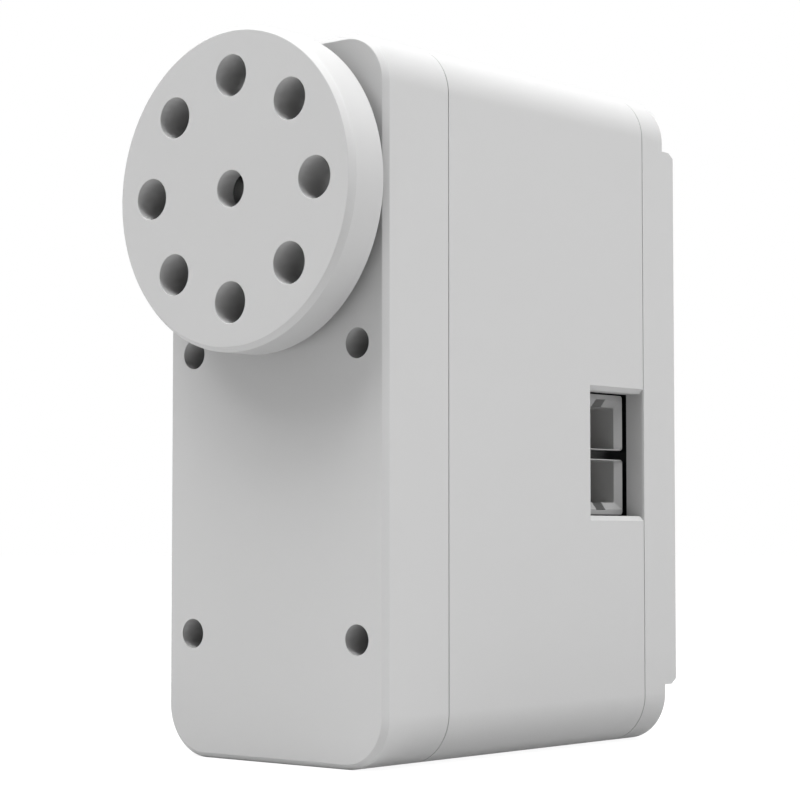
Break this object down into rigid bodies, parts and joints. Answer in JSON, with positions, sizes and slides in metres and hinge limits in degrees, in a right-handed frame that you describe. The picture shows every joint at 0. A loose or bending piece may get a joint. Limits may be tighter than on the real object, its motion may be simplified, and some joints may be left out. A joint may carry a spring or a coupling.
{
  "type": "serial bus servo",
  "caption": "Small rectangular servo with a round drilled horn, spur gear train, motor, position sensor, control board and a pair of side sockets for its bus cables.",
  "frame": {"origin": "centre of the horn's front face, on the output axis", "axes": "-Y along the output axis, out of the horn's face; +Z along the body, from the motor end to the horn end; +X to the side with the sockets"},
  "size_m": [0.0216, 0.0371, 0.0486],
  "materials": {
    "case_plastic": "fine matt texture",
    "horn_plastic": "fine matt texture",
    "socket_plastic": "smooth moulded",
    "sensor_plastic": "smooth moulded",
    "chip_plastic": "moulded resin",
    "wire_sleeve": "matt sleeve",
    "board": "solder mask",
    "screw_steel": "plated",
    "shaft_steel": "ground",
    "gear_steel": "hobbed",
    "bearing_steel": "polished",
    "motor_steel": "drawn, plated",
    "lamination_steel": "stamped sheets",
    "magnet": "sintered",
    "gear_brass": "machined",
    "bush_brass": "turned",
    "contact_brass": "plated",
    "copper": "enamelled wire",
    "brush_carbon": "pressed carbon",
    "capacitor_can": "drawn can"
  },
  "bodies": {
    "case": {"front_case": "case_plastic", "middle_case": "case_plastic", "rear_cover": "case_plastic", "case_screws": "screw_steel", "motor_screws": "screw_steel", "sensor_screws": "screw_steel", "board_screws": "screw_steel", "bearing_outer_ring": "bearing_steel", "shaft_bush": "bush_brass", "shaft_spacer": "bush_brass", "upper_gear_pin": "shaft_steel", "lower_gear_pin": "shaft_steel", "motor_can": "motor_steel", "motor_end_cap": "socket_plastic", "motor_magnets": "magnet", "motor_brushes": "brush_carbon", "motor_terminals": "contact_brass", "sensor_housing": "chip_plastic", "sensor_board": "board", "sensor_leads": "wire_sleeve", "main_board": "board", "controller_chip": "chip_plastic", "driver_chip": "chip_plastic", "capacitor": "capacitor_can", "riser_board": "board", "upper_socket": "socket_plastic", "lower_socket": "socket_plastic", "socket_contacts": "contact_brass"},
    "rotor": {"motor_shaft": "shaft_steel", "motor_pinion": "gear_brass", "motor_armature": "lamination_steel", "motor_windings": "copper", "motor_commutator": "copper"},
    "first_stage": {"first_gear": "gear_brass"},
    "second_stage": {"second_gear": "gear_steel"},
    "third_stage": {"third_gear": "gear_steel"},
    "fourth_stage": {"fourth_gear": "gear_steel"},
    "output": {"output_horn": "horn_plastic", "output_shaft": "shaft_steel", "output_gear": "gear_steel", "bearing_inner_ring": "bearing_steel", "sensor_rotor": "sensor_plastic"},
    "ball_ring": {"bearing_balls": "bearing_steel"}
  },
  "joints": [
    {"name": "rotor_spin", "type": "hinge", "parent": "case", "child": "rotor", "pos_m": [0, 0.02, -0.0275], "axis": [0, 1, 0], "range_deg": [-59600, 59600]},
    {"name": "first_gear_spin", "type": "hinge", "parent": "case", "child": "first_stage", "pos_m": [0, 0.014, -0.0182], "axis": [0, 1, 0], "range_deg": [-11470, 11470]},
    {"name": "second_gear_spin", "type": "hinge", "parent": "case", "child": "second_stage", "pos_m": [0, 0.012, -0.009], "axis": [0, 1, 0], "range_deg": [-3190, 3190]},
    {"name": "third_gear_spin", "type": "hinge", "parent": "case", "child": "third_stage", "pos_m": [0, 0.011, 0], "axis": [0, 1, 0], "range_deg": [-915, 915]},
    {"name": "fourth_gear_spin", "type": "hinge", "parent": "case", "child": "fourth_stage", "pos_m": [0, 0.009, -0.009], "axis": [0, 1, 0], "range_deg": [-355, 355]},
    {"name": "horn_turn", "type": "hinge", "parent": "case", "child": "output", "pos_m": [0, 0, 0], "axis": [0, 1, 0], "range_deg": [-150, 150]},
    {"name": "ball_roll", "type": "hinge", "parent": "case", "child": "ball_ring", "pos_m": [0, 0.00585, 0], "axis": [0, 1, 0], "range_deg": [-64, 64]}
  ],
  "couplings": [
    {"joint": "first_gear_spin", "follows": "rotor_spin", "ratio": -0.19231},
    {"joint": "second_gear_spin", "follows": "rotor_spin", "ratio": 0.053419},
    {"joint": "third_gear_spin", "follows": "rotor_spin", "ratio": -0.015263},
    {"joint": "fourth_gear_spin", "follows": "rotor_spin", "ratio": 0.0058702},
    {"joint": "horn_turn", "follows": "rotor_spin", "ratio": -0.0025158},
    {"joint": "ball_roll", "follows": "rotor_spin", "ratio": -0.0010692}
  ]
}
